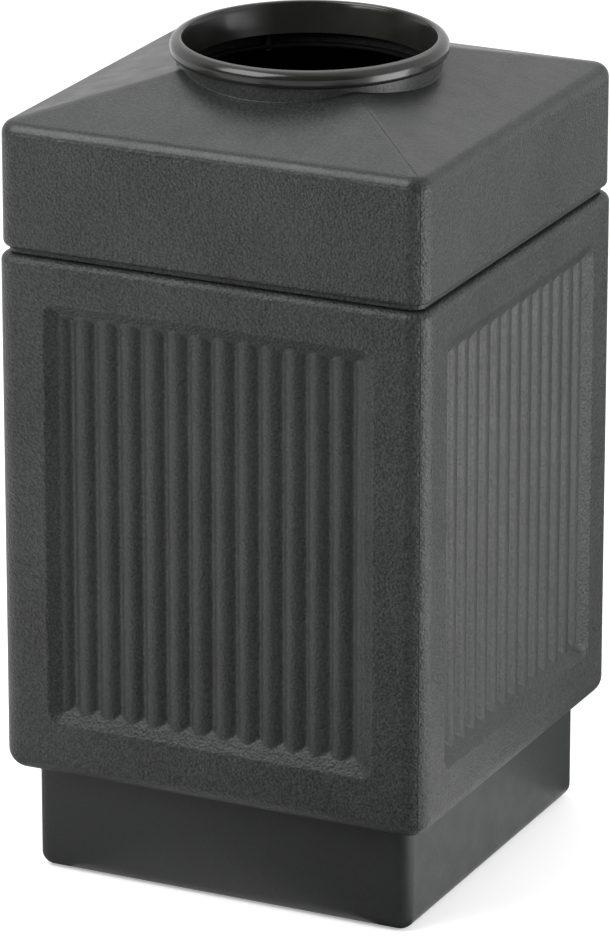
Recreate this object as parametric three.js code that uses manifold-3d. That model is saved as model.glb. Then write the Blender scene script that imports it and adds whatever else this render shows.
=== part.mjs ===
// A square, free-standing litter bin: a plinth, a panelled body, a rigid liner
// with two swing handles, and a lift-off hipped lid with a round opening ring.
// Millimetres, +Z up, front towards -Y, origin at the centre of the footprint.

import * as THREE from 'three';
import { mergeVertices } from 'three/addons/utils/BufferGeometryUtils.js';
import Module from 'manifold-3d';

const wasm = await Module();
wasm.setup();

// ---------------------------------------------------------------- dimensions

const GAP = 0.3; // left between pieces that touch
const OVERRUN = 1; // how far a cutting tool runs past the face it cuts

const BODY = {
  half: 231.8,
  corner: 18.5,
  wall: 5,
  bottom: 109.7,
  top: 652,
  bottomFillet: 21,
  topFillet: 9,
  mouthHalf: 212, // inner edge of the shoulder
  mouthCorner: 9.5,
};

const PLINTH = {
  half: 206.3,
  corner: 15,
  wall: 5,
  top: BODY.bottom - GAP,
  bottomFillet: 14,
  topFillet: 3,
  footHalf: 171, // inner edge of the flange that stands on the floor
};

const PANEL = {
  half: 177.8, // recess edge on the face, each side of the centre
  low: 167.5,
  high: 609.5,
  crestDepth: 8,
  valleyDepth: 12.3,
  slopeRun: 12.7, // how far the sloped side walls run in before the ribs
  ribPitch: 25.4,
  ribCount: 12, // whole ribs, with a half rib more at each end
  ribBase: 21.6,
  backing: 5.2, // plastic left behind the valleys
};

const LID = {
  half: 229.7,
  corner: 17,
  wall: 4.5,
  bottom: 658,
  eave: 783, // where the sides and the slopes would meet
  slope: 0.275, // rise over run of the four slopes
  bottomFillet: 6.5,
  eaveFillet: 14,
  ridgeCorner: 10,
  roofEnd: 100, // half width where the slopes stop, inside the neck's bore
  beadHalf: 223.2, // narrow band that stands on the body's shoulder
  skirtHalf: 210, // locating skirt inside the body's mouth
  skirtWall: 3.5,
  skirtBottom: 634,
  flange: 5,
};

const NECK = { outer: 131.5, inner: 128.5, top: 837.7, seatOuter: 141, seatBottom: 800 };

const RING = {
  rim: 138,
  lip: 125.7, // inner edge of the mouth
  top: 843,
  skirtBottom: 825.2,
  rounding: 5.5,
  throat: 118.6, // radius at the lower edge
  throatWall: 2.6,
  throatBottom: 811,
  bossRadius: 3.6,
  bossTop: 819,
  skirtBevel: 1,
  lipBevel: 1.4,
};

const COLLAR = { inner: 121.5, outer: 139, thickness: 3.3 };

const RING_SCREW = {
  circle: 124.6, // radius that the four screws stand on
  shank: 1.5,
  point: 1.5,
  hole: 1.8,
  clearance: 2,
  reach: 12,
  head: 3.2,
  headTop: 2.4, // radius of the head's flat end
  headHeight: 2.2,
  headEdge: 1.2,
};

const LINER = {
  bottom: BODY.bottom + BODY.wall + GAP,
  top: 625,
  bottomHalf: 186,
  topHalf: 195.5,
  corner: 30,
  wall: 3,
  floorFillet: 6,
  rimHalf: 201,
  rimDepth: 8,
  rimBevel: 2,
};

const HANDLE = {
  wire: 2.5, // radius
  pivotX: 181,
  pivotZ: 590,
  legY: 50,
  endY: 66,
  drop: 65,
  bend: 9,
  sides: 8,
};

const GRIP = { outer: 8.5, bore: HANDLE.wire + GAP, length: 78, bevel: 2 };

const BRACKET = {
  plate: [2.5, 30, 34],
  ear: [14, 3, 16],
  earY: 60,
  wallX: 191.4, // back of the plate, just clear of the liner wall
  hole: HANDLE.wire + GAP,
  rivetOut: 9, // each rivet's distance from the ear, along the wall
  rivetRise: 11, // and above or below the pivot
};

const RIVET = { shank: 2, hole: 2.4, head: 3.8, headTop: 2.3, tail: 3.2, headHeight: 1.4, tailX: 196 };

const BOLT = { place: 187, shank: 4, hole: 4.5, headFlats: 13, headHeight: 5.3, end: 93 }; // M8
const WASHER = { inner: 4.3, outer: 8, thickness: 1.6 };
const NUT = { bore: 4.3, flats: 13, height: 6.5 };
const ANCHOR = { place: 182, hole: 5.5 };

const CORNER_STEPS = 5; // facets in each rounded corner
const FILLET_STEPS = 4; // facets in each rounded edge
const RIB_STEPS = 6; // facets across each rib
const RING_STEPS = 56; // facets round the opening ring
const SMALL_STEPS = 12; // facets round fasteners
const BORE_STEPS = 16; // facets round grips, washers and pivot holes

// ---------------------------------------------------------------- materials

const plastic = (color, roughness) => new THREE.MeshStandardMaterial({ color, roughness, metalness: 0 });
const metal = (color, roughness) => new THREE.MeshStandardMaterial({ color, roughness, metalness: 1 });

const charcoalPlastic = plastic(0x3b3d3d, 0.62);
const glossBlackPlastic = plastic(0x0c0c0d, 0.14);
const linerPlastic = plastic(0x1b1c1d, 0.55);
const gripPlastic = plastic(0x151516, 0.5);
const zincSteel = metal(0xb9bcbf, 0.38);

// ---------------------------------------------------------------- solids

// A closed triangle mesh with shared vertices as a solid that can be cut.
function toSolid(geometry) {
  const bare = geometry.clone();
  bare.deleteAttribute('normal');
  bare.deleteAttribute('uv');
  const merged = mergeVertices(bare, 1e-4);
  return new wasm.Manifold(new wasm.Mesh({
    numProp: 3,
    vertProperties: new Float32Array(merged.attributes.position.array),
    triVerts: new Uint32Array(merged.index.array),
  }));
}

function toGeometry(solid) {
  const mesh = solid.getMesh();
  const geometry = new THREE.BufferGeometry();
  geometry.setAttribute('position', new THREE.BufferAttribute(mesh.vertProperties, 3));
  geometry.setIndex(new THREE.BufferAttribute(mesh.triVerts, 1));
  geometry.computeVertexNormals();
  return geometry;
}

const joined = (first, ...others) => others.reduce((sum, next) => sum.add(next), first);
const cutBy = (first, ...tools) => tools.reduce((rest, tool) => rest.subtract(tool), first);

// Points on an arc of a profile, from one angle to another, in degrees.
function arc(centreR, centreZ, radius, from, to, steps = FILLET_STEPS) {
  return Array.from({ length: steps + 1 }, (_, i) => {
    const angle = THREE.MathUtils.degToRad(from + ((to - from) * i) / steps);
    return [centreR + radius * Math.cos(angle), centreZ + radius * Math.sin(angle)];
  });
}

// One level of a square shell: a square of the given half width, with rounded
// corners, at height z, running anticlockwise seen from above.
function squareLevel(half, corner, z) {
  const points = [];
  const centre = half - corner;
  for (let quarter = 0; quarter < 4; quarter += 1) {
    for (let step = 0; step <= CORNER_STEPS; step += 1) {
      const angle = (quarter + step / CORNER_STEPS) * (Math.PI / 2);
      const signX = quarter === 0 || quarter === 3 ? 1 : -1;
      const signY = quarter < 2 ? 1 : -1;
      const x = signX * centre + corner * Math.cos(angle);
      const y = signY * centre + corner * Math.sin(angle);
      points.push(new THREE.Vector3(x, y, z));
    }
  }
  return points;
}

// A closed skin over a stack of levels with equal numbers of points, with a
// flat fan over the first level and another over the last.
function loftGeometry(levels) {
  const count = levels[0].length;
  const positions = levels.flat();
  const index = [];
  for (let level = 0; level + 1 < levels.length; level += 1) {
    for (let i = 0; i < count; i += 1) {
      const next = (i + 1) % count;
      const [a, b] = [level * count + i, level * count + next];
      index.push(a, b, b + count, a, b + count, a + count);
    }
  }
  const lastStart = (levels.length - 1) * count;
  const firstCentre = positions.push(new THREE.Vector3(0, 0, levels[0][0].z)) - 1;
  const lastCentre = positions.push(new THREE.Vector3(0, 0, levels.at(-1)[0].z)) - 1;
  for (let i = 0; i < count; i += 1) {
    const next = (i + 1) % count;
    index.push(firstCentre, next, i);
    index.push(lastCentre, lastStart + i, lastStart + next);
  }
  const geometry = new THREE.BufferGeometry().setFromPoints(positions);
  geometry.setIndex(index);
  return geometry;
}

// A square shell from its profile: [half width, height] pairs. A corner's
// radius shrinks with its inset from the widest level, down to a small least.
function squareSolid(profile, widest, corner, leastCorner = 0.5) {
  const levels = profile.map(([half, z]) => squareLevel(half, Math.max(corner - (widest - half), leastCorner), z));
  return toSolid(loftGeometry(levels));
}

// A solid of revolution about +Z from a closed [radius, height] profile.
function turned(profile, steps = SMALL_STEPS) {
  const points = [...profile, profile[0]].map(([r, z]) => new THREE.Vector2(r, z));
  const geometry = new THREE.LatheGeometry(points, steps);
  geometry.rotateX(Math.PI / 2);
  return toSolid(geometry);
}

const tube = (inner, outer, low, high, steps) => turned(
  [[inner, low], [outer, low], [outer, high], [inner, high]],
  steps,
);

function rod(radius, low, high, steps = SMALL_STEPS, x = 0, y = 0) {
  const geometry = new THREE.CylinderGeometry(radius, radius, high - low, steps);
  geometry.rotateX(Math.PI / 2);
  geometry.translate(x, y, (low + high) / 2);
  return toSolid(geometry);
}

function block([x, y, z], [cx, cy, cz]) {
  const geometry = new THREE.BoxGeometry(x, y, z);
  geometry.translate(cx, cy, cz);
  return toSolid(geometry);
}

const corners = [[1, 1], [-1, 1], [-1, -1], [1, -1]];
const quarterTurns = [0, 90, 180, 270];
const aroundZ = (solid, degrees) => solid.rotate([0, 0, degrees]);

// ---------------------------------------------------------------- plinth

function basePlinth() {
  const inner = PLINTH.half - PLINTH.wall;
  const profile = [
    [inner, PLINTH.top - PLINTH.wall],
    [inner, PLINTH.wall],
    [PLINTH.footHalf, PLINTH.wall],
    [PLINTH.footHalf, 0],
    ...arc(PLINTH.half - PLINTH.bottomFillet, PLINTH.bottomFillet, PLINTH.bottomFillet, -90, 0),
    ...arc(PLINTH.half - PLINTH.topFillet, PLINTH.top - PLINTH.topFillet, PLINTH.topFillet, 0, 90, 2),
  ];
  const shell = squareSolid(profile, PLINTH.half, PLINTH.corner);
  const boltHoles = corners.map(([x, y]) => (
    rod(BOLT.hole, PLINTH.top - PLINTH.wall - OVERRUN, PLINTH.top + OVERRUN, SMALL_STEPS, x * BOLT.place, y * BOLT.place)
  ));
  const anchorHoles = quarterTurns.map((turn) => (
    aroundZ(rod(ANCHOR.hole, -OVERRUN, PLINTH.wall + OVERRUN, SMALL_STEPS, ANCHOR.place, 0), turn)
  ));
  return cutBy(shell, ...boltHoles, ...anchorHoles);
}

// ---------------------------------------------------------------- body

// The cross-section of the ribbed floor of a recess, seen from above with the
// face along x and the depth into the body along +y.
function ribbedOutline() {
  const rise = PANEL.valleyDepth - PANEL.crestDepth;
  const halfBase = PANEL.ribBase / 2;
  const radius = (halfBase ** 2 + rise ** 2) / (2 * rise);
  const centreDepth = PANEL.crestDepth + radius;
  const halfAngle = Math.asin(halfBase / radius);
  const end = (PANEL.ribCount + 1) / 2 * PANEL.ribPitch;
  const outside = PANEL.half + PANEL.slopeRun;
  const shape = new THREE.Shape();
  shape.moveTo(-outside, -PANEL.slopeRun);
  shape.lineTo(outside, -PANEL.slopeRun);
  shape.lineTo(outside, PANEL.crestDepth);
  shape.lineTo(end, PANEL.crestDepth);
  for (let rib = 0; rib <= PANEL.ribCount + 1; rib += 1) {
    const middle = end - rib * PANEL.ribPitch;
    const first = rib === 0 ? 0 : halfAngle;
    const last = rib === PANEL.ribCount + 1 ? 0 : -halfAngle;
    for (let step = 0; step <= RIB_STEPS; step += 1) {
      const angle = first + ((last - first) * step) / RIB_STEPS;
      shape.lineTo(middle + radius * Math.sin(angle), centreDepth - radius * Math.cos(angle));
    }
  }
  shape.lineTo(-outside, PANEL.crestDepth);
  shape.closePath();
  return shape;
}

// A rectangle in the x-z plane that shrinks as it goes into the front face:
// the space inside a recess's four sloped walls, or a pad behind it.
function taperedPad(edgeHalf, edgeHeightHalf, fromDepth, toDepth) {
  const run = PANEL.slopeRun / PANEL.crestDepth;
  const middle = (PANEL.low + PANEL.high) / 2;
  const level = (depth) => {
    const x = edgeHalf - run * depth;
    const z = edgeHeightHalf - run * depth;
    const y = depth - BODY.half;
    return [[x, middle - z], [x, middle + z], [-x, middle + z], [-x, middle - z]]
      .map(([px, pz]) => new THREE.Vector3(px, y, pz));
  };
  const [outer, inner] = [level(fromDepth), level(toDepth)];
  const geometry = new THREE.BufferGeometry().setFromPoints([...outer, ...inner]);
  const sides = [0, 1, 2, 3].flatMap((i) => {
    const next = (i + 1) % 4;
    return [i, next + 4, next, i, i + 4, next + 4];
  });
  geometry.setIndex([0, 1, 2, 0, 2, 3, 4, 6, 5, 4, 7, 6, ...sides]);
  return toSolid(geometry);
}

// What is cut out of the front face to leave one recessed, ribbed panel.
function panelCutter() {
  const heightHalf = (PANEL.high - PANEL.low) / 2;
  const walls = taperedPad(PANEL.half, heightHalf, -OVERRUN, PANEL.valleyDepth + OVERRUN);
  const ribs = new THREE.ExtrudeGeometry(ribbedOutline(), {
    depth: PANEL.high - PANEL.low + 2 * OVERRUN,
    bevelEnabled: false,
  });
  ribs.translate(0, -BODY.half, PANEL.low - OVERRUN);
  return walls.intersect(toSolid(ribs));
}

// The pad inside the body that keeps plastic behind the recess.
function panelBacking() {
  const steepness = PANEL.slopeRun / PANEL.crestDepth;
  const offset = PANEL.backing * Math.hypot(1, steepness);
  const heightHalf = (PANEL.high - PANEL.low) / 2;
  return taperedPad(
    PANEL.half + offset,
    heightHalf + offset,
    BODY.wall - OVERRUN,
    PANEL.valleyDepth + PANEL.backing,
  );
}

function bodyShell() {
  const inner = BODY.half - BODY.wall;
  const innerFillet = BODY.bottomFillet - BODY.wall;
  const filletLevel = BODY.bottom + BODY.bottomFillet;
  const profile = [
    ...arc(BODY.half - BODY.bottomFillet, filletLevel, BODY.bottomFillet, -90, 0),
    ...arc(BODY.half - BODY.topFillet, BODY.top - BODY.topFillet, BODY.topFillet, 0, 90),
    [BODY.mouthHalf, BODY.top],
    [BODY.mouthHalf, BODY.top - BODY.wall],
    [inner, BODY.top - BODY.wall],
    ...arc(inner - innerFillet, filletLevel, innerFillet, 0, -90),
  ];
  const shell = squareSolid(profile, BODY.half, BODY.corner);
  const backing = panelBacking();
  const cutter = panelCutter();
  const floorHoles = corners.map(([x, y]) => (
    rod(BOLT.hole, BODY.bottom - OVERRUN, LINER.bottom + OVERRUN, SMALL_STEPS, x * BOLT.place, y * BOLT.place)
  ));
  const padded = joined(shell, ...quarterTurns.map((turn) => aroundZ(backing, turn)));
  return cutBy(padded, ...quarterTurns.map((turn) => aroundZ(cutter, turn)), ...floorHoles);
}

// ---------------------------------------------------------------- lid

const slopeHeight = (half) => LID.eave + LID.slope * (LID.half - half);

// The rounded eave between the vertical side and the slope, as arc points.
function eaveArc(half, eave, radius) {
  const pitch = THREE.MathUtils.radToDeg(Math.atan(LID.slope));
  const tangent = radius * Math.tan(THREE.MathUtils.degToRad((90 - pitch) / 2));
  return arc(half - radius, eave - tangent, radius, 0, 90 - pitch, FILLET_STEPS + 1);
}

function lidShell() {
  const innerHalf = LID.half - LID.wall;
  const roofDrop = LID.wall * Math.hypot(1, LID.slope);
  const innerEave = LID.eave + LID.slope * LID.wall - roofDrop;
  const ledge = LID.bottom + LID.flange;
  const outerProfile = [
    [LID.skirtHalf, LID.skirtBottom],
    [LID.skirtHalf, BODY.top + GAP],
    [LID.beadHalf, BODY.top + GAP],
    ...arc(LID.half - LID.bottomFillet, LID.bottom + LID.bottomFillet, LID.bottomFillet, -90, 0),
    ...eaveArc(LID.half, LID.eave, LID.eaveFillet),
    [LID.roofEnd, slopeHeight(LID.roofEnd)],
  ];
  const innerProfile = [
    [LID.skirtHalf - LID.skirtWall, LID.skirtBottom - OVERRUN],
    [LID.skirtHalf - LID.skirtWall, ledge],
    [innerHalf, ledge],
    ...eaveArc(innerHalf, innerEave, LID.eaveFillet - LID.wall),
    [LID.roofEnd, slopeHeight(LID.roofEnd) - roofDrop],
  ];
  const outer = squareSolid(outerProfile, LID.half, LID.corner, LID.ridgeCorner);
  const inner = squareSolid(innerProfile, LID.half, LID.corner, LID.ridgeCorner);
  const seat = tube(NECK.inner - OVERRUN, NECK.seatOuter, NECK.seatBottom, NECK.top, RING_STEPS).intersect(outer);
  const neck = tube(NECK.inner - OVERRUN, NECK.outer, slopeHeight(NECK.outer) - LID.wall, NECK.top, RING_STEPS);
  const bore = rod(NECK.inner, LID.eave, NECK.top + OVERRUN, RING_STEPS);
  return cutBy(joined(cutBy(outer, inner), seat, neck), bore);
}

function openingRing() {
  const lean = (RING.lip - RING.throat) / (RING.top - RING.throatBottom);
  const channelTop = NECK.top + GAP;
  const throatOuter = RING.throat + RING.throatWall;
  const channelInner = throatOuter + lean * (channelTop - RING.throatBottom);
  const profile = [
    [RING.throat, RING.throatBottom],
    [throatOuter, RING.throatBottom],
    [channelInner, channelTop],
    [NECK.outer + GAP, channelTop],
    [NECK.outer + GAP, RING.skirtBottom],
    [RING.rim - RING.skirtBevel, RING.skirtBottom],
    [RING.rim, RING.skirtBottom + RING.skirtBevel],
    ...arc(RING.rim - RING.rounding, RING.top - RING.rounding, RING.rounding, 0, 90),
    [RING.lip + RING.lipBevel, RING.top],
    [RING.lip, RING.top - RING.lipBevel],
  ];
  const ring = turned(profile, RING_STEPS);
  const atEach = (radius, low, high) => quarterTurns.map((turn) => (
    aroundZ(rod(radius, low, high, SMALL_STEPS, RING_SCREW.circle, 0), turn + 45)
  ));
  const bosses = atEach(RING.bossRadius, NECK.seatBottom, RING.bossTop);
  const pilotHoles = atEach(RING_SCREW.hole, NECK.seatBottom - OVERRUN, NECK.seatBottom + RING_SCREW.reach);
  return cutBy(joined(ring, ...bosses), ...pilotHoles);
}

function ringClampCollar() {
  const top = NECK.seatBottom - GAP;
  const collar = tube(COLLAR.inner, COLLAR.outer, top - COLLAR.thickness, top, RING_STEPS);
  const holes = quarterTurns.map((turn) => aroundZ(
    rod(RING_SCREW.clearance, top - COLLAR.thickness - OVERRUN, top + OVERRUN, SMALL_STEPS, RING_SCREW.circle, 0),
    turn + 45,
  ));
  return cutBy(collar, ...holes);
}

// One pan-head screw, head down, that draws the collar up to the ring's boss.
function ringScrew() {
  const headTop = NECK.seatBottom - 2 * GAP - COLLAR.thickness;
  const tip = NECK.seatBottom + RING_SCREW.reach - 2 * OVERRUN;
  return turned([
    [0, headTop - RING_SCREW.headHeight],
    [RING_SCREW.headTop, headTop - RING_SCREW.headHeight],
    [RING_SCREW.head, headTop - RING_SCREW.headEdge],
    [RING_SCREW.head, headTop],
    [RING_SCREW.shank, headTop],
    [RING_SCREW.shank, tip - RING_SCREW.point],
    [0, tip],
  ]).translate([RING_SCREW.circle, 0, 0]);
}

// ---------------------------------------------------------------- liner

const linerOuterHalf = (z) => THREE.MathUtils.mapLinear(
  z,
  LINER.bottom,
  LINER.top,
  LINER.bottomHalf,
  LINER.topHalf,
);

function innerLiner() {
  const { bottom, top, wall, floorFillet, rimHalf, rimDepth, rimBevel } = LINER;
  const shoulder = bottom + floorFillet;
  const rimLow = top - rimDepth;
  const profile = [
    ...arc(linerOuterHalf(shoulder) - floorFillet, shoulder, floorFillet, -90, 0, 3),
    [linerOuterHalf(rimLow), rimLow],
    [rimHalf, rimLow + rimBevel],
    [rimHalf, top - rimBevel],
    [rimHalf - rimBevel, top],
    [linerOuterHalf(top) - wall, top],
    [linerOuterHalf(shoulder) - wall, shoulder],
    [linerOuterHalf(shoulder) - floorFillet, bottom + wall],
  ];
  return squareSolid(profile, LINER.topHalf, LINER.corner, LINER.corner / 2);
}

// The centre line of a handle's bent wire. Each step of the path ends on a
// point of a bend or at the end of a straight run.
class WirePath extends THREE.Curve {
  constructor(points) {
    super();
    this.points = points;
  }

  getPoint(t) {
    const place = Math.min(t, 1) * (this.points.length - 1);
    const from = Math.min(Math.floor(place), this.points.length - 2);
    return this.points[from].clone().lerp(this.points[from + 1], place - from);
  }

  getPointAt(u) {
    return this.getPoint(u);
  }

  getTangentAt(u) {
    const step = 0.5 / (this.points.length - 1);
    const behind = this.getPoint(Math.max(u - step, 0));
    return this.getPoint(Math.min(u + step, 1)).sub(behind).normalize();
  }
}

function handleCentreLine() {
  const { legY, endY, drop, bend, pivotX, pivotZ } = HANDLE;
  const rightHalf = [
    ...arc(legY - bend, pivotZ - drop + bend, bend, -90, 0),
    ...arc(legY + bend, pivotZ - bend, bend, 180, 90),
    [endY, pivotZ],
  ];
  const leftHalf = rightHalf.map(([y, z]) => [-y, z]).reverse();
  return [...leftHalf, ...rightHalf].map(([y, z]) => new THREE.Vector3(pivotX, y, z));
}

function linerHandle() {
  const points = handleCentreLine();
  const section = new THREE.Shape();
  for (let side = 0; side < HANDLE.sides; side += 1) {
    const angle = (side / HANDLE.sides) * 2 * Math.PI;
    const point = [HANDLE.wire * Math.cos(angle), HANDLE.wire * Math.sin(angle)];
    if (side === 0) section.moveTo(...point);
    else section.lineTo(...point);
  }
  section.closePath();
  return toSolid(new THREE.ExtrudeGeometry(section, {
    steps: points.length - 1,
    extrudePath: new WirePath(points),
  }));
}

function handleGrip() {
  const { outer, bore, length, bevel } = GRIP;
  const sleeve = turned([
    [bore, -length / 2],
    [outer - bevel, -length / 2],
    [outer, bevel - length / 2],
    [outer, length / 2 - bevel],
    [outer - bevel, length / 2],
    [bore, length / 2],
  ], BORE_STEPS);
  return sleeve.rotate([90, 0, 0]).translate([HANDLE.pivotX, 0, HANDLE.pivotZ - HANDLE.drop]);
}

// A bracket on the +X wall of the liner, with the ear that holds a wire end.
function handleBracket(side) {
  const [thickness] = BRACKET.plate;
  const plate = block(BRACKET.plate, [BRACKET.wallX - thickness / 2, side * BRACKET.earY, HANDLE.pivotZ]);
  const earX = BRACKET.wallX - thickness - BRACKET.ear[0] / 2 + OVERRUN;
  const ear = block(BRACKET.ear, [earX, side * BRACKET.earY, HANDLE.pivotZ]);
  const pivotHole = rod(BRACKET.hole, -BRACKET.ear[1], BRACKET.ear[1], BORE_STEPS)
    .rotate([90, 0, 0])
    .translate([HANDLE.pivotX, side * BRACKET.earY, HANDLE.pivotZ]);
  const rivetHoles = rivetPlaces(side).map(([y, z]) => (
    rod(RIVET.hole, -thickness, thickness).rotate([0, 90, 0]).translate([BRACKET.wallX - thickness / 2, y, z])
  ));
  return cutBy(joined(plate, ear), pivotHole, ...rivetHoles);
}

// Two rivets on a slant across each bracket, clear of its ear.
function rivetPlaces(side) {
  return [1, -1].map((end) => [
    side * (BRACKET.earY + end * BRACKET.rivetOut),
    HANDLE.pivotZ + end * BRACKET.rivetRise,
  ]);
}

function rivetHoleInLiner(y, z) {
  return rod(RIVET.hole, LINER.bottomHalf, LINER.rimHalf).rotate([0, 90, 0]).translate([0, y, z]);
}

function bracketRivet(y, z) {
  const headX = BRACKET.wallX - BRACKET.plate[0] - GAP;
  const { shank, head, headTop, headHeight, tail, tailX } = RIVET;
  return turned([
    [0, headX - headHeight],
    [headTop, headX - headHeight],
    [head, headX],
    [shank, headX],
    [shank, tailX],
    [tail, tailX],
    [tail, tailX + headHeight],
    [0, tailX + headHeight],
  ]).rotate([0, 90, 0]).translate([0, y, z]);
}

function piercedLiner() {
  const holes = [1, -1].flatMap((side) => rivetPlaces(side)).map(([y, z]) => rivetHoleInLiner(y, z));
  return cutBy(innerLiner(), ...holes, ...holes.map((hole) => aroundZ(hole, 180)));
}

// ---------------------------------------------------------------- fasteners

const deckUnderside = PLINTH.top - PLINTH.wall;
const upperWasherLow = BODY.bottom + BODY.wall + GAP;
const lowerWasherLow = deckUnderside - GAP - WASHER.thickness;
const hexRadius = (flats) => flats / Math.sqrt(3);

function baseBolt() {
  const headLow = upperWasherLow + WASHER.thickness + GAP;
  const head = rod(hexRadius(BOLT.headFlats), headLow, headLow + BOLT.headHeight, 6);
  return joined(head, rod(BOLT.shank, BOLT.end, headLow + OVERRUN));
}

const baseWasher = (low) => tube(WASHER.inner, WASHER.outer, low, low + WASHER.thickness, BORE_STEPS);

function baseNut() {
  const top = lowerWasherLow - GAP;
  const body = rod(hexRadius(NUT.flats), top - NUT.height, top, 6);
  return cutBy(body, rod(NUT.bore, top - NUT.height - OVERRUN, top + OVERRUN));
}

// ---------------------------------------------------------------- assembly

const bin = new THREE.Group();

function addPiece(name, solid, material) {
  const mesh = new THREE.Mesh(toGeometry(solid), material);
  mesh.name = name;
  bin.add(mesh);
  return mesh;
}

addPiece('base_plinth', basePlinth(), charcoalPlastic);
addPiece('body_shell', bodyShell(), charcoalPlastic);
addPiece('lid_shell', lidShell(), charcoalPlastic);
addPiece('opening_ring', openingRing(), glossBlackPlastic);
addPiece('ring_clamp_collar', ringClampCollar(), glossBlackPlastic);
addPiece('inner_liner', piercedLiner(), linerPlastic);

quarterTurns.forEach((turn, i) => {
  addPiece(`ring_screw_${i + 1}`, aroundZ(ringScrew(), turn + 45), zincSteel);
});

[['right', 0], ['left', 180]].forEach(([place, turn]) => {
  addPiece(`liner_handle_${place}`, aroundZ(linerHandle(), turn), zincSteel);
  addPiece(`handle_grip_${place}`, aroundZ(handleGrip(), turn), gripPlastic);
  [1, -1].forEach((side, i) => {
    addPiece(`handle_bracket_${place}_${i + 1}`, aroundZ(handleBracket(side), turn), zincSteel);
    rivetPlaces(side).forEach(([y, z], k) => {
      addPiece(`bracket_rivet_${place}_${2 * i + k + 1}`, aroundZ(bracketRivet(y, z), turn), zincSteel);
    });
  });
});

corners.forEach(([x, y], i) => {
  const atCorner = (solid) => solid.translate([x * BOLT.place, y * BOLT.place, 0]);
  addPiece(`base_bolt_${i + 1}`, atCorner(baseBolt()), zincSteel);
  addPiece(`base_upper_washer_${i + 1}`, atCorner(baseWasher(upperWasherLow)), zincSteel);
  addPiece(`base_lower_washer_${i + 1}`, atCorner(baseWasher(lowerWasherLow)), zincSteel);
  addPiece(`base_nut_${i + 1}`, atCorner(baseNut()), zincSteel);
});

export default bin;
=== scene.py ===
"""A square litter bin in charcoal polyethylene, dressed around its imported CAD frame.

The moulded shells, the ring, the liner, the handles and the fasteners are rebuilt as
finer meshes in the CAD's own frame. Lengths are in millimetres until mesh_object()
turns them into metres. The front faces -Y, and +Z is up.
"""

import math

import bmesh
import bpy
import numpy as np
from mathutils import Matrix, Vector


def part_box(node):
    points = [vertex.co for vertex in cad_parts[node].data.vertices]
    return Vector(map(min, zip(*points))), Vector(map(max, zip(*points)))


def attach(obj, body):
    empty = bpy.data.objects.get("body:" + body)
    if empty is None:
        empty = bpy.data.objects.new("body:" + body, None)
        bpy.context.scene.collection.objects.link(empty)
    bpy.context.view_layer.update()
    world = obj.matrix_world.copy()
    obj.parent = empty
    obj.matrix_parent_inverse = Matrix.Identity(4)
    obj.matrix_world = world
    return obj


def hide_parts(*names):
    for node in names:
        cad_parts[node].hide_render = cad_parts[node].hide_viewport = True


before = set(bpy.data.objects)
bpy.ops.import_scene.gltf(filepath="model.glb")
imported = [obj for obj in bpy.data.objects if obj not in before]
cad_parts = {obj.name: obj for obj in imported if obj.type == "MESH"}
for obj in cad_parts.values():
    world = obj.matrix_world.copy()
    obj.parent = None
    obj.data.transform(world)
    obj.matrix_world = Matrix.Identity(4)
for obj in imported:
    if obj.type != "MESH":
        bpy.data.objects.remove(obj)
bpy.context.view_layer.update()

MM = 0.001


def box_mm(node):
    """A CAD node's lowest and highest corners in millimetres."""
    low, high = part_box(node)
    return np.array(low) / MM, np.array(high) / MM


# ---------------------------------------------------------------- dimensions

body_low, body_high = box_mm("body_shell")
lid_low, lid_high = box_mm("lid_shell")
_, plinth_high = box_mm("base_plinth")
_, ring_high = box_mm("opening_ring")
liner_low, liner_high = box_mm("inner_liner")

BODY_HALF = body_high[0]
BODY_BOTTOM = body_low[2]
BODY_TOP = body_high[2]
BODY_CORNER = 22.0
BODY_WALL = 5.0
BODY_BOTTOM_FILLET = 21.0
BODY_TOP_FILLET = 9.0
MOUTH_HALF = 212.0
MOUTH_CORNER = 9.5
MOUTH_BEVEL = 1
SHARP_CORNER = 0.5  # smallest corner radius of a square row

PANEL_HALF = 177.8
PANEL_LOW = 167.5
PANEL_HIGH = 609.5
PANEL_CORNER = 15.0
PANEL_STEEPNESS = 8.0 / 12.7  # depth gained for each millimetre in from the lip
PANEL_LIP_BLEND = 1.0
PANEL_FOOT_BLEND = 0.7
RIB_CREST = 8.0
RIB_VALLEY = 12.3
RIB_PITCH = 25.4
RIB_BASE = 21.6
RIB_FIELD_HALF = 165.1
VALLEY_BLEND = 0.5
COLUMNS_PER_RIB = 14
PANEL_ROWS_OUT = 6  # the fine rows at a panel's edges reach this far outside it
PANEL_ROWS_IN = 22
BACKING_DEPTH = 17.5
BACKING_MARGIN = 10.0
BACKING_BLEND = 4

PLINTH_HALF = plinth_high[0]
PLINTH_TOP = plinth_high[2]
PLINTH_CORNER = 15.0
PLINTH_WALL = 5.0
PLINTH_BOTTOM_FILLET = 14.0
PLINTH_TOP_FILLET = 3.0
FOOT_HALF = 171.0
ANCHOR_PLACE = 182.0
ANCHOR_RADIUS = 5.5

LID_HALF = lid_high[0]
LID_CORNER = 20.0
LID_WALL = 4.5
LID_BOTTOM = 658.0
LID_EAVE = 783.0
LID_SLOPE = 0.275
LID_BOTTOM_FILLET = 6.5
LID_EAVE_FILLET = 14.0
LID_HIP_BLEND = 9.0
BEAD_HALF = 223.2
BEAD_ROUNDING = 1.8
BEAD_BOTTOM = 652.3
SKIRT_HALF = 210.0
SKIRT_WALL = 3.5
SKIRT_CORNER = 8
LID_LEDGE = 663.0
SEAM_RADIUS = 0.45

NECK_RADIUS = 131.5
NECK_BORE = 128.5
NECK_FILLET = 0.8
NECK_BEVEL = 0.6
SEAT_RADIUS = 141.0
SEAT_BOTTOM = 800.0

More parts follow.
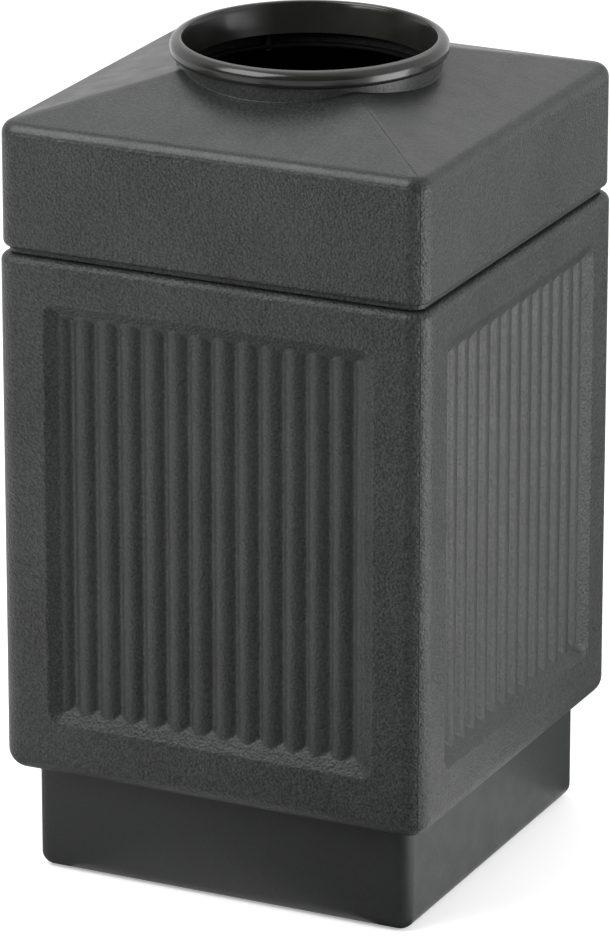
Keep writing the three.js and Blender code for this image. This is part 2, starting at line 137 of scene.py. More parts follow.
RING_RIM = ring_high[0]
RING_TOP = ring_high[2]
RING_LIP = 125.7
RING_ROUNDING = 9.3
RING_LIP_ROUNDING = 2.8
RING_UNDER_ROUNDING = 5.0
RING_SKIRT_BOTTOM = 825.2
RING_THROAT = 118.6
RING_THROAT_WALL = 2.6
RING_THROAT_BOTTOM = 811.0
BOSS_PLACE = 124.6
BOSS_RADIUS = 3.6
BOSS_WALL = 1.6
BOSS_TOP = 819.0

COLLAR_INNER = 121.5
SCREW_HEAD = 3.2
SCREW_HEAD_HEIGHT = 2.2
SCREW_SHANK = 1.5
SCREW_THREAD_DEPTH = 0.3
SCREW_PITCH = 1.3

LINER_BOTTOM_HALF = 186.0
LINER_TOP_HALF = 195.5
LINER_CORNER = 30.0
LINER_WALL = 3.0
LINER_FLOOR_FILLET = 6.0
LINER_RIM_HALF = liner_high[0]
LINER_RIM_DEPTH = 8.0

WIRE_RADIUS = 2.5
PIVOT_X = 181.0
PIVOT_Z = 590.0
HANDLE_LEG = 50.0
HANDLE_END = 66.0
HANDLE_DROP = 65.0
HANDLE_BEND = 9.0
GRIP_LENGTH = 78.0
GRIP_OUTER = 8.5
GRIP_BORE = 2.8
GRIP_GROOVE_PITCH = 6.0
GRIP_GROOVE_DEPTH = 0.7
GRIP_ROUNDING = 2
GRIP_PLAIN_END = 4
BRACKET_PLACE = 60.0
PLATE_THICKNESS = 2.5
PLATE_CORNER = 4.0
EAR_HEIGHT = 16.0
EAR_THICKNESS = 3.0
EAR_BORE = 2.8
RIVET_OUT = 9.0
RIVET_RISE = 11.0
RIVET_HEAD = 3.8
RIVET_TAIL = 3.2
RIVET_SHANK = 2.0
RIVET_HEAD_HEIGHT = 1.4

HEX_FLATS = 13.0
BOLT_HEAD_HEIGHT = 5.3
BOLT_SHANK = 4.0
BOLT_THREAD_DEPTH = 0.6
BOLT_PITCH = 1.25
FASTENER_BORE = 4.3

CORNER_STEPS = 14
FILLET_STEPS = 8
ROUND_STEPS = 160


# ---------------------------------------------------------------- mesh helpers

def face_outward(mesh):
    shape = bmesh.new()
    shape.from_mesh(mesh)
    bmesh.ops.recalc_face_normals(shape, faces=shape.faces)
    shape.to_mesh(mesh)
    shape.free()


def mesh_object(name, points, faces):
    """A smooth mesh object from points in millimetres."""
    mesh = bpy.data.meshes.new(name)
    mesh.from_pydata((np.asarray(points) * MM).tolist(), [], faces)
    face_outward(mesh)
    mesh.shade_smooth()
    piece = bpy.data.objects.new(name, mesh)
    bpy.context.scene.collection.objects.link(piece)
    return piece


def skin(rows, close_rows=False, cap_first=False, cap_last=False):
    """Points and faces of a skin over rows that each run once round the object."""
    count = len(rows[0])
    points = [point for row in rows for point in row]
    faces = []
    pairs = [(i, i + 1) for i in range(len(rows) - 1)]
    if close_rows:
        pairs.append((len(rows) - 1, 0))
    for low, high in pairs:
        for j in range(count):
            k = (j + 1) % count
            faces.append((low * count + j, low * count + k, high * count + k, high * count + j))
    if cap_first:
        points.append(np.mean(rows[0], axis=0))
        centre = len(points) - 1
        faces += [(centre, (j + 1) % count, j) for j in range(count)]
    if cap_last:
        points.append(np.mean(rows[-1], axis=0))
        centre = len(points) - 1
        start = (len(rows) - 1) * count
        faces += [(centre, start + j, start + (j + 1) % count) for j in range(count)]
    return points, faces


def merged(*parts):
    """Several (points, faces) pairs as one."""
    points, faces = [], []
    for part_points, part_faces in parts:
        start = len(points)
        points += list(part_points)
        faces += [tuple(i + start for i in face) for face in part_faces]
    return points, faces


def moved(part, offset):
    points, faces = part
    return np.asarray(points) + np.asarray(offset, float), faces


def laid_along_x(part):
    """A part built along +Z, turned so that it runs along +X."""
    points, faces = part
    return np.asarray(points)[:, [2, 0, 1]], faces


def laid_along_y(part):
    """A part built along +Z, turned so that it runs along +Y."""
    points, faces = part
    return np.asarray(points)[:, [1, 2, 0]], faces


def swung(part, quarters):
    """A part turned about +Z by a number of quarter turns."""
    points, faces = part
    angle = quarters * math.pi / 2
    cos, sin = math.cos(angle), math.sin(angle)
    x, y, z = np.asarray(points).T
    return np.column_stack([cos * x - sin * y, sin * x + cos * y, z]), faces


def arc(centre_r, centre_z, radius, start, end, steps=FILLET_STEPS):
    """(r, z) points on an arc of a profile, between two angles in degrees."""
    angles = np.radians(np.linspace(start, end, steps + 1))
    return [(centre_r + radius * math.cos(a), centre_z + radius * math.sin(a)) for a in angles]


def turned(profile, steps=ROUND_STEPS, closed=True):
    """A solid of revolution about +Z from a profile of (radius, height) points."""
    angles = np.linspace(0, 2 * math.pi, steps, endpoint=False)
    circle = np.stack([np.cos(angles), np.sin(angles)], axis=1)
    rows = [np.column_stack([circle * r, np.full(steps, z)]) for r, z in profile]
    return skin(rows, close_rows=closed, cap_first=not closed, cap_last=not closed)


def square_columns(flat_half, flat_places):
    """Where the columns of a square shell run: places along a side, as shares of its
    flat half width, then angles round the corner that follows it."""
    flats = np.asarray(flat_places) / flat_half
    angles = np.radians(np.linspace(-90, 0, CORNER_STEPS + 1))
    return flats, angles[1:-1]


def square_row(columns, half, corner, z, relief=None):
    """One row round a square shell. relief(x, z) is how far each point of a side
    stands in from the square."""
    flats, angles = columns
    flat_half = half - corner
    x = flats * flat_half
    depth = relief(x, z) if relief else np.zeros_like(x)
    side = np.column_stack([x, depth - half])
    bend = np.column_stack([
        flat_half + corner * np.cos(angles),
        -flat_half + corner * np.sin(angles),
    ])
    quarter = np.vstack([side, bend])
    turns = [quarter]
    for _ in range(3):
        quarter = np.column_stack([-quarter[:, 1], quarter[:, 0]])
        turns.append(quarter)
    flat_ring = np.vstack(turns)
    return np.column_stack([flat_ring, np.full(len(flat_ring), z)])


def smooth_max(a, b, blend):
    return np.maximum(a, b) + np.maximum(blend - np.abs(a - b), 0) ** 2 / (4 * blend)


def smooth_min(a, b, blend):
    return -smooth_max(-a, -b, blend)


def planar_tube(path, radius, across, steps=16):
    """A tube along a path that lies in a plane; across is that plane's normal."""
    path = np.asarray(path, float)
    across = np.asarray(across, float)
    along = np.gradient(path, axis=0)
    along /= np.linalg.norm(along, axis=1)[:, None]
    outward = np.cross(across, along)
    angles = np.linspace(0, 2 * math.pi, steps, endpoint=False)
    rows = [
        path[i] + radius * (np.outer(np.cos(angles), outward[i]) + np.outer(np.sin(angles), across))
        for i in range(len(path))
    ]
    return skin(rows, cap_first=True, cap_last=True)


def weighted_normals(piece):
    piece.modifiers.new("weighted_normals", "WEIGHTED_NORMAL").keep_sharp = True


# ---------------------------------------------------------------- materials

def new_material(name):
    material = bpy.data.materials.new(name)
    material.use_nodes = True
    return material, material.node_tree.nodes, material.node_tree.links


def noise(nodes, links, place, scale, detail=2.0, roughness=0.5):
    node = nodes.new("ShaderNodeTexNoise")
    node.inputs["Scale"].default_value = scale
    node.inputs["Detail"].default_value = detail
    node.inputs["Roughness"].default_value = roughness
    links.new(place, node.inputs["Vector"])
    return node.outputs["Fac"]


def remap(nodes, links, value, from_low, from_high, to_low, to_high):
    node = nodes.new("ShaderNodeMapRange")
    node.inputs["From Min"].default_value = from_low
    node.inputs["From Max"].default_value = from_high
    node.inputs["To Min"].default_value = to_low
    node.inputs["To Max"].default_value = to_high
    links.new(value, node.inputs["Value"])
    return node.outputs["Result"]


def math_node(nodes, links, operation, first, second):
    node = nodes.new("ShaderNodeMath")
    node.operation = operation
    for socket, value in zip(node.inputs, (first, second)):
        if isinstance(value, (int, float)):
            socket.default_value = value
        else:
            links.new(value, socket)
    return node.outputs["Value"]


def mix_colour(nodes, links, share, first, second):
    node = nodes.new("ShaderNodeMix")
    node.data_type = "RGBA"
    node.inputs["A"].default_value = (*first, 1)
    node.inputs["B"].default_value = (*second, 1)
    links.new(share, node.inputs["Factor"])
    return node.outputs["Result"]


def bump(nodes, links, height, strength, distance):
    node = nodes.new("ShaderNodeBump")
    node.inputs["Strength"].default_value = strength
    node.inputs["Distance"].default_value = distance
    links.new(height, node.inputs["Height"])
    return node.outputs["Normal"]


PEBBLE_SCALE = 350  # the scales are in features per metre
CRINKLE_SCALE = 470
SPECK_SCALE = 430
PEBBLE_HEIGHT = 0.0005
SMOOTH_GRAIN = 0.13  # what is left of the pebbles above smooth_above
SMOOTH_GLOSS = 0.06  # how much glossier the plastic is there
SMOOTH_RISE = 0.006  # height over which the change happens, in metres
PLASTIC_SPECULAR = 0.33


def pebbled_plastic(name, colour, roughness, grain, speckle_shade, smooth_above=None):
    """Rotomoulded polyethylene with a pebbled skin. grain is the pebbles' height, and the speckle amount
    sets how far the colour turns paler and darker in random specks at the pebbles' scale: painted light and
    shade that deepens the pebbles' contrast. Above smooth_above (in metres) the pebbles are shallower."""
    material, nodes, links = new_material(name)
    shader = nodes["Principled BSDF"]
    place = nodes.new("ShaderNodeTexCoord").outputs["Object"]

    pebbles = nodes.new("ShaderNodeTexVoronoi")
    pebbles.feature = "SMOOTH_F1"
    pebbles.inputs["Scale"].default_value = PEBBLE_SCALE
    pebbles.inputs["Smoothness"].default_value = 0.6
    links.new(place, pebbles.inputs["Vector"])
    crinkle = noise(nodes, links, place, CRINKLE_SCALE, detail=3, roughness=0.55)
    height = math_node(nodes, links, "ADD", pebbles.outputs["Distance"], crinkle)

    gloss = noise(nodes, links, place, 40, detail=4)
    rough = remap(nodes, links, gloss, 0.3, 0.7, roughness - 0.04, roughness + 0.05)
    amount = grain
    if smooth_above is not None:
        split = nodes.new("ShaderNodeSeparateXYZ")
        links.new(place, split.inputs["Vector"])
        smooth_from = smooth_above + SMOOTH_RISE
        smoothness = remap(nodes, links, split.outputs["Z"], smooth_above, smooth_from, 0, 1)
        amount = remap(nodes, links, smoothness, 0, 1, grain, SMOOTH_GRAIN * grain)
        gloss_gain = math_node(nodes, links, "MULTIPLY", smoothness, SMOOTH_GLOSS)
        rough = math_node(nodes, links, "SUBTRACT", rough, gloss_gain)
    links.new(rough, shader.inputs["Roughness"])
    height = math_node(nodes, links, "MULTIPLY", height, amount)
    links.new(bump(nodes, links, height, 1.0, PEBBLE_HEIGHT), shader.inputs["Normal"])

    # The slow mottle is the plastic's own uneven tone. The fine specks are painted light and shade: paler
    # and darker colour at random at the pebbles' scale.
    mottle = noise(nodes, links, place, 9, detail=3)
    speck = noise(nodes, links, place, SPECK_SCALE, detail=2)
    speck_shade_share = remap(nodes, links, speck, 0.35, 0.65, 0, 0.8)
    mottle_share = remap(nodes, links, mottle, 0.35, 0.65, 0, 0.2)
    share = math_node(nodes, links, "ADD", speck_shade_share, mottle_share)
    darker = tuple((1 - speckle_shade) * c for c in colour)
    lighter = tuple((1 + speckle_shade) * c for c in colour)
    links.new(mix_colour(nodes, links, share, darker, lighter), shader.inputs["Base Color"])
    shader.inputs["Specular IOR Level"].default_value = PLASTIC_SPECULAR
    return material


def polished_plastic(name, colour, roughness, specular=0.5):
    """Smooth injection-moulded plastic with faint waviness and handling haze."""
    material, nodes, links = new_material(name)
    shader = nodes["Principled BSDF"]
    place = nodes.new("ShaderNodeTexCoord").outputs["Object"]
    haze = noise(nodes, links, place, 30, detail=5)
    rough = remap(nodes, links, haze, 0.3, 0.75, roughness * 0.8, roughness * 1.5)
    links.new(rough, shader.inputs["Roughness"])
    wave = noise(nodes, links, place, 25, detail=1)
    links.new(bump(nodes, links, wave, 0.15, 0.001), shader.inputs["Normal"])
    share = remap(nodes, links, haze, 0.3, 0.7, 0, 1)
    lighter = tuple(1.25 * c for c in colour)
    links.new(mix_colour(nodes, links, share, colour, lighter), shader.inputs["Base Color"])
    shader.inputs["Specular IOR Level"].default_value = specular
    return material


ZINC_DULL = (0.50, 0.51, 0.52)
ZINC_BRIGHT = (0.66, 0.66, 0.64)


def zinc_plate(name):
    """Bright zinc-plated steel with a faint drawn grain and cloudy passivation."""
    material, nodes, links = new_material(name)
    shader = nodes["Principled BSDF"]
    place = nodes.new("ShaderNodeTexCoord").outputs["Object"]
    cloud = noise(nodes, links, place, 120, detail=4)
    shader.inputs["Metallic"].default_value = 1
    share = remap(nodes, links, cloud, 0.35, 0.65, 0, 1)
    links.new(mix_colour(nodes, links, share, ZINC_DULL, ZINC_BRIGHT), shader.inputs["Base Color"])
    links.new(remap(nodes, links, cloud, 0.3, 0.7, 0.26, 0.42), shader.inputs["Roughness"])
    grain = noise(nodes, links, place, 1500, detail=2)
    links.new(bump(nodes, links, grain, 0.2, 0.0001), shader.inputs["Normal"])
    return material


CHARCOAL = (0.0245, 0.0255, 0.0255)
# The lid's charcoal is a paler copy of the body's: painted light, as the lid stands highest and nearest the
# key light.
LID_CHARCOAL_LIT = (0.0262, 0.0273, 0.0273)
# The plinth's charcoal is a darker copy of the body's: painted shade for the low plinth under the body's
# overhang.
PLINTH_CHARCOAL_SHADED = (0.0185, 0.0193, 0.0193)
RING_BLACK = (0.012, 0.0118, 0.011)
# The collar is the ring's black plastic made much darker: painted shade, so the inside of the throat stays
# black.
COLLAR_SHADE_BLACK = (0.004, 0.004, 0.004)
LINER_BLACK = (0.022, 0.0225, 0.024)
GRIP_BLACK = (0.014, 0.014, 0.015)
LID_SMOOTH_ABOVE = (LID_EAVE - 13) * MM

charcoal_body = pebbled_plastic(
    "charcoal_polyethylene", CHARCOAL, roughness=0.42, grain=1.35, speckle_shade=0.55,
)
charcoal_ribs = pebbled_plastic(
    "charcoal_polyethylene_ribs", CHARCOAL, roughness=0.42, grain=0.75, speckle_shade=0.4,
)
# Same plastic as the body, with painted light in its paler colour.
charcoal_lid = pebbled_plastic(
    "charcoal_polyethylene_lid", LID_CHARCOAL_LIT, roughness=0.4, grain=1.8, speckle_shade=0.55,
    smooth_above=LID_SMOOTH_ABOVE,
)
# Same plastic as the body, with painted shade in its darker colour.
charcoal_plinth = pebbled_plastic(
    "charcoal_polyethylene_plinth", PLINTH_CHARCOAL_SHADED, roughness=0.45, grain=0.25, speckle_shade=0.15,
)
gloss_black = polished_plastic("gloss_black_plastic", RING_BLACK, roughness=0.17)
# The collar's near-black colour is painted shade inside the throat.
dull_black = polished_plastic("dull_black_plastic", COLLAR_SHADE_BLACK, roughness=0.5, specular=0.08)
liner_black = pebbled_plastic("liner_plastic", LINER_BLACK, roughness=0.5, grain=0.1, speckle_shade=0.1)
grip_black = pebbled_plastic("grip_plastic", GRIP_BLACK, roughness=0.45, grain=0.15, speckle_shade=0.1)
zinc_steel = zinc_plate("zinc_steel")


def finish_piece(piece, material, slot, body, *nodes):
    """Gives a piece its material and its body, and hides the CAD nodes it replaces. slot is not used."""
    piece.data.materials.clear()
    piece.data.materials.append(material)
    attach(piece, body)
    if nodes:
        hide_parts(*nodes)


# ---------------------------------------------------------------- body

def panel_inset(x, z, half, low, high, corner):
    """How far a point lies inside a rounded rectangle, negative outside it."""
    middle = (low + high) / 2
    qx = np.abs(x) - (half - corner)
    qz = abs(z - middle) - ((high - low) / 2 - corner)
    outside = np.hypot(np.maximum(qx, 0), max(qz, 0)) + np.minimum(np.maximum(qx, qz), 0)
    return corner - outside


def rib_depth(x):
    """Depth of the ribbed floor across a panel."""
    rise = RIB_VALLEY - RIB_CREST
    radius = ((RIB_BASE / 2) ** 2 + rise ** 2) / (2 * rise)
    from_crest = (x - RIB_FIELD_HALF + RIB_PITCH / 2) % RIB_PITCH - RIB_PITCH / 2
    in_arc = np.minimum(np.abs(from_crest), radius * 0.95)
    round_top = RIB_CREST + radius - np.sqrt(radius ** 2 - in_arc ** 2)
    ribs = smooth_min(round_top, RIB_VALLEY, VALLEY_BLEND)
    return np.where(np.abs(x) > RIB_FIELD_HALF, RIB_CREST, ribs)


def panel_depth(x, z):
    """Depth of a side's recess: sloped walls with a rounded lip, then the ribs."""
    inset = panel_inset(x, z, PANEL_HALF, PANEL_LOW, PANEL_HIGH, PANEL_CORNER)
    walls = smooth_max(inset * PANEL_STEEPNESS, 0, PANEL_LIP_BLEND)
    return smooth_min(walls, rib_depth(x), PANEL_FOOT_BLEND)


def backing_depth(x, z):
    """Depth of the inner skin, which keeps clear of the recess."""
    margin = BACKING_MARGIN
    inset = panel_inset(x, z, PANEL_HALF + margin, PANEL_LOW - margin, PANEL_HIGH + margin, PANEL_CORNER)
    walls = smooth_max(inset * PANEL_STEEPNESS, 0, PANEL_LIP_BLEND)
    return smooth_min(walls, BACKING_DEPTH - BODY_WALL, BACKING_BLEND)


def body_columns():
    flat_half = BODY_HALF - BODY_CORNER
    ribs = np.arange(-RIB_FIELD_HALF, RIB_FIELD_HALF + 0.1, RIB_PITCH / COLUMNS_PER_RIB)
    slope = np.arange(RIB_FIELD_HALF + 1, PANEL_HALF + PANEL_ROWS_OUT, 1.0)
    edge = np.linspace(PANEL_HALF + 8, flat_half, 5)
    right = np.concatenate([slope, edge])
    return square_columns(flat_half, np.concatenate([-right[::-1], ribs, right]))


def body_rows():
    """Rows from the middle of the underside, up the outside and down the inside."""
    columns = body_columns()
    rows = []
    fillet_z = BODY_BOTTOM + BODY_BOTTOM_FILLET
    fillet_half = BODY_HALF - BODY_BOTTOM_FILLET
    shoulder_z = BODY_TOP - BODY_TOP_FILLET
    for half in (60, 150):
        rows.append(square_row(columns, half, SHARP_CORNER, BODY_BOTTOM))
    for half, z in arc(fillet_half, fillet_z, BODY_BOTTOM_FILLET, -90, 0, 10):
        corner = max(half - BODY_HALF + BODY_CORNER, SHARP_CORNER)
        rows.append(square_row(columns, half, corner, z))
    below = np.arange(PANEL_LOW - PANEL_ROWS_OUT, PANEL_LOW + PANEL_ROWS_IN, 1.0)
    above = np.arange(PANEL_HIGH + 1 - PANEL_ROWS_IN, PANEL_HIGH + 1 + PANEL_ROWS_OUT, 1.0)
    middle = np.linspace(below[-1], above[0], 8)[1:-1]
    for z in np.concatenate([[fillet_z + 12], below, middle, above, [shoulder_z - 10]]):
        rows.append(square_row(columns, BODY_HALF, BODY_CORNER, z, panel_depth))
    for half, z in arc(BODY_HALF - BODY_TOP_FILLET, shoulder_z, BODY_TOP_FILLET, 0, 90):
        rows.append(square_row(columns, half, half - BODY_HALF + BODY_CORNER, z))
    bevel = MOUTH_BEVEL
    mouth = [
        (MOUTH_HALF + bevel, BODY_TOP), (MOUTH_HALF, BODY_TOP - bevel),
        (MOUTH_HALF, BODY_TOP - BODY_WALL + bevel), (MOUTH_HALF + bevel, BODY_TOP - BODY_WALL),
    ]
    rows += [square_row(columns, half, MOUTH_CORNER, z) for half, z in mouth]
    inner_half = BODY_HALF - BODY_WALL
    inner_corner = BODY_CORNER - BODY_WALL
    rows.append(square_row(columns, inner_half - 3, inner_corner - 2, BODY_TOP - BODY_WALL))
    rows.append(square_row(columns, inner_half, inner_corner, BODY_TOP - BODY_WALL - 3))
    high = PANEL_HIGH + BACKING_MARGIN
    low = PANEL_LOW - BACKING_MARGIN
    levels = np.concatenate([
        np.linspace(high + 4, high - 24, 12),
        np.linspace(low + 24, low - 4, 12),
    ])
    for z in levels:
        rows.append(square_row(columns, inner_half, inner_corner, z, backing_depth))
    inner_fillet = BODY_BOTTOM_FILLET - BODY_WALL
    for half, z in arc(inner_half - inner_fillet, fillet_z, inner_fillet, 0, -90, 6):
        corner = max(half - inner_half + inner_corner, SHARP_CORNER)
        rows.append(square_row(columns, half, corner, z))
    rows.append(square_row(columns, 100, SHARP_CORNER, BODY_BOTTOM + BODY_WALL))
    return rows


def seam(rows, column_count):
    """The fine raised line that the mould's parting leaves on two opposite corners."""
    quarter = column_count // 4
    tubes = []
    for turn in (0, 2):
        column = turn * quarter + quarter - (CORNER_STEPS // 2)
        path = np.array([row[column] for row in rows])
        outward = path[0][:2] / np.linalg.norm(path[0][:2])
        across = np.array([-outward[1], outward[0], 0])
        tubes.append(planar_tube(path, SEAM_RADIUS, across, 8))
    return tubes


def build_body():
    rows = body_rows()
    shell = skin(rows, cap_first=True, cap_last=True)
    outside = [row for row in rows if np.max(row[:, 0]) > BODY_HALF - 8 and row[0][2] > BODY_BOTTOM + 8]
    piece = mesh_object("body_moulding", *merged(shell, *seam(outside, len(rows[0]))))
    weighted_normals(piece)
    finish_piece(piece, charcoal_body, "charcoal_polyethylene", "bin_base", "body_shell")
    piece.data.materials.append(charcoal_ribs)
    rib_low = BODY_HALF - RIB_VALLEY - 1
    rib_high = BODY_HALF - RIB_CREST + 0.5
    for face in piece.data.polygons:
        out = max(abs(face.center.x), abs(face.center.y)) / MM
        on_ribs = rib_low < out < rib_high and PANEL_LOW < face.center.z / MM < PANEL_HIGH
        face.material_index = 1 if on_ribs else 0


# ---------------------------------------------------------------- lid

def roof_height(x, y):
    """Height of the four slopes, with the hips rounded over."""
    out = smooth_max(np.abs(x), np.abs(y), LID_HIP_BLEND)
    return LID_EAVE + LID_SLOPE * (LID_HALF - out)


def eave_profile(half, eave, radius):
    pitch = math.degrees(math.atan(LID_SLOPE))
    tangent = radius * math.tan(math.radians((90 - pitch) / 2))
    return arc(half - radius, eave - tangent, radius, 0, 90 - pitch, 10)


def lid_columns():
    flat_half = LID_HALF - LID_CORNER
    return square_columns(flat_half, np.linspace(-flat_half, flat_half, 41))


def slope_rows(eave_row, radius, drop, shares):
    """Rows up a slope from the eave to a circle of the given radius."""
    edge = eave_row[:, :2]
    circle = radius * edge / np.linalg.norm(edge, axis=1)[:, None]
    mismatch = eave_row[:, 2] - (roof_height(edge[:, 0], edge[:, 1]) - drop)
    rows = []
    for share in shares:
        plan = edge + (circle - edge) * share
        z = roof_height(plan[:, 0], plan[:, 1]) - drop + mismatch * (1 - share) ** 2
        rows.append(np.column_stack([plan, z]))
    return rows


def circle_row(like, radius, z):
    """A row on a circle, with each point in the same direction as in another row."""
    plan = like[:, :2]
    circle = radius * plan / np.linalg.norm(plan, axis=1)[:, None]
    return np.column_stack([circle, np.broadcast_to(z, len(circle))])


def lid_rows():
    """Rows from the skirt's foot, up the outside to the neck and down the inside."""
    columns = lid_columns()

    def square(half, z, corner=None):
        if corner is None:
            corner = max(half - LID_HALF + LID_CORNER, 2)
        return square_row(columns, half, corner, z)

    skirt = [(SKIRT_HALF - 1, lid_low[2]), (SKIRT_HALF, lid_low[2] + 1), (SKIRT_HALF, BEAD_BOTTOM)]
    rows = [square(half, z, SKIRT_CORNER) for half, z in skirt]
    bead_corner = BEAD_HALF - LID_HALF + LID_CORNER
    for half, z in arc(BEAD_HALF - BEAD_ROUNDING, BEAD_BOTTOM + BEAD_ROUNDING, BEAD_ROUNDING, -90, 0, 5):
        rows.append(square(half, z, bead_corner))
    rows.append(square(BEAD_HALF, LID_BOTTOM - 1.4, bead_corner))
    rows.append(square(BEAD_HALF - 0.2, LID_BOTTOM - 0.5, bead_corner))
    bottom = LID_BOTTOM_FILLET
    rows += [square(half, z) for half, z in arc(LID_HALF - bottom, LID_BOTTOM + bottom, bottom, -90, 0)]
    rows += [square(LID_HALF, z) for z in (LID_BOTTOM + 12, LID_EAVE - 24)]
    rows += [square(half, z) for half, z in eave_profile(LID_HALF, LID_EAVE, LID_EAVE_FILLET)]
    shares = [0.03, 0.08, 0.15, 0.25, 0.4, 0.55, 0.7, 0.85, 0.94, 1.0]
    rows += slope_rows(rows[-1], NECK_RADIUS + NECK_FILLET, 0, shares)
    base = rows[-1]
    for angle in np.radians([22.5, 45, 67.5, 90]):
        radius = NECK_RADIUS + NECK_FILLET * (1 - math.sin(angle))
        rows.append(circle_row(base, radius, base[:, 2] + NECK_FILLET * (1 - math.cos(angle))))
    neck_top = lid_high[2]
    neck = [
        (NECK_RADIUS, neck_top - NECK_BEVEL), (NECK_RADIUS - NECK_BEVEL, neck_top),
        (NECK_BORE + NECK_BEVEL, neck_top), (NECK_BORE, neck_top - NECK_BEVEL),
        (NECK_BORE, SEAT_BOTTOM), (SEAT_RADIUS, SEAT_BOTTOM),
    ]
    rows += [circle_row(base, radius, z) for radius, z in neck]
    return rows + lid_inner_rows(columns)


def lid_inner_rows(columns):
    """Rows from the seat down the inside of the slopes and sides to the skirt."""
    drop = LID_WALL * math.hypot(1, LID_SLOPE)
    inner_half = LID_HALF - LID_WALL
    inner_eave = LID_EAVE + LID_SLOPE * LID_WALL - drop
    inner_corner = LID_CORNER - LID_WALL

    def square(half, z):
        return square_row(columns, half, max(half - inner_half + inner_corner, 2), z)

    eave = [square(half, z) for half, z in eave_profile(inner_half, inner_eave, LID_EAVE_FILLET - LID_WALL)]
    slopes = slope_rows(eave[-1], SEAT_RADIUS, drop, [0.05, 0.2, 0.4, 0.6, 0.8, 1.0])
    skirt_inner = SKIRT_HALF - SKIRT_WALL
    lower = [
        square(inner_half, LID_LEDGE + 2),
        square(inner_half - 2, LID_LEDGE),
    ]
    skirt = [
        (skirt_inner + 1, LID_LEDGE), (skirt_inner, LID_LEDGE - 1),
        (skirt_inner, lid_low[2] + 1), (skirt_inner + 1, lid_low[2]),
    ]
    lower += [square_row(columns, half, SKIRT_CORNER - 2, z) for half, z in skirt]
    return slopes[::-1] + eave[::-1] + lower


def build_lid():
    rows = lid_rows()
    shell = skin(rows, close_rows=True)
    outside = [
        row for row in rows[:48]
        if row[0][2] > LID_BOTTOM - 6 and np.max(np.hypot(row[:, 0], row[:, 1])) > NECK_RADIUS + 1
    ]
    outside = [row for row in outside if np.max(row[:, 0]) > BEAD_HALF - 1 or row[0][2] > LID_EAVE - 14]
    piece = mesh_object("lid_moulding", *merged(shell, *seam(outside, len(rows[0]))))
    weighted_normals(piece)
    finish_piece(piece, charcoal_lid, "charcoal_polyethylene", "lid", "lid_shell")


# ---------------------------------------------------------------- plinth

def plinth_rows():
    """Rows from the deck's underside, round the foot flange and up the outside."""
    flat_half = PLINTH_HALF - PLINTH_CORNER
    columns = square_columns(flat_half, np.linspace(-flat_half, flat_half, 9))

    def square(half, z):
        return square_row(columns, half, max(half - PLINTH_HALF + PLINTH_CORNER, 2), z)

    inner = PLINTH_HALF - PLINTH_WALL
    deck = PLINTH_TOP - PLINTH_WALL
    rows = [square(60, deck), square(inner - 3, deck), square(inner, deck - 3)]
    rows += [square(inner, PLINTH_WALL + 3), square(inner - 3, PLINTH_WALL)]
    rows += [square(FOOT_HALF + 1, PLINTH_WALL), square(FOOT_HALF, PLINTH_WALL - 1)]
    rows += [square(FOOT_HALF, 1), square(FOOT_HALF + 1, 0)]
    bottom = PLINTH_BOTTOM_FILLET
    rows += [square(half, z) for half, z in arc(PLINTH_HALF - bottom, bottom, bottom, -90, 0, 12)]
    rows += [square(PLINTH_HALF, z) for z in (bottom + 8, PLINTH_TOP - PLINTH_TOP_FILLET - 6)]
    top = PLINTH_TOP_FILLET
    rows += [square(half, z) for half, z in arc(PLINTH_HALF - top, PLINTH_TOP - top, top, 0, 90, 4)]
    rows += [square(PLINTH_HALF - 20, PLINTH_TOP), square(60, PLINTH_TOP)]
    return rows


def build_plinth():
    piece = mesh_object("plinth_moulding", *skin(plinth_rows(), cap_first=True, cap_last=True))
    drills = []
    for turn in range(4):
        angle = turn * math.pi / 2
        place = np.array([ANCHOR_PLACE * math.cos(angle), ANCHOR_PLACE * math.sin(angle), 0])
        points, faces = turned([(ANCHOR_RADIUS, -3), (ANCHOR_RADIUS, PLINTH_WALL + 3)], 32, closed=False)
        drills.append(([point + place for point in points], faces))
    drill = mesh_object("anchor_drill", *merged(*drills))
    cut = piece.modifiers.new("anchor_holes", "BOOLEAN")
    cut.operation = "DIFFERENCE"
    cut.solver = "EXACT"
    cut.object = drill
    evaluated = piece.evaluated_get(bpy.context.evaluated_depsgraph_get())
    holed = bpy.data.meshes.new_from_object(evaluated)
    piece.modifiers.clear()
    piece.data = holed
    piece.data.set_sharp_from_angle(angle=math.radians(40))
    bpy.data.objects.remove(drill)
    weighted_normals(piece)
    finish_piece(piece, charcoal_plinth, "charcoal_polyethylene", "bin_base", "base_plinth")


# ---------------------------------------------------------------- ring and collar

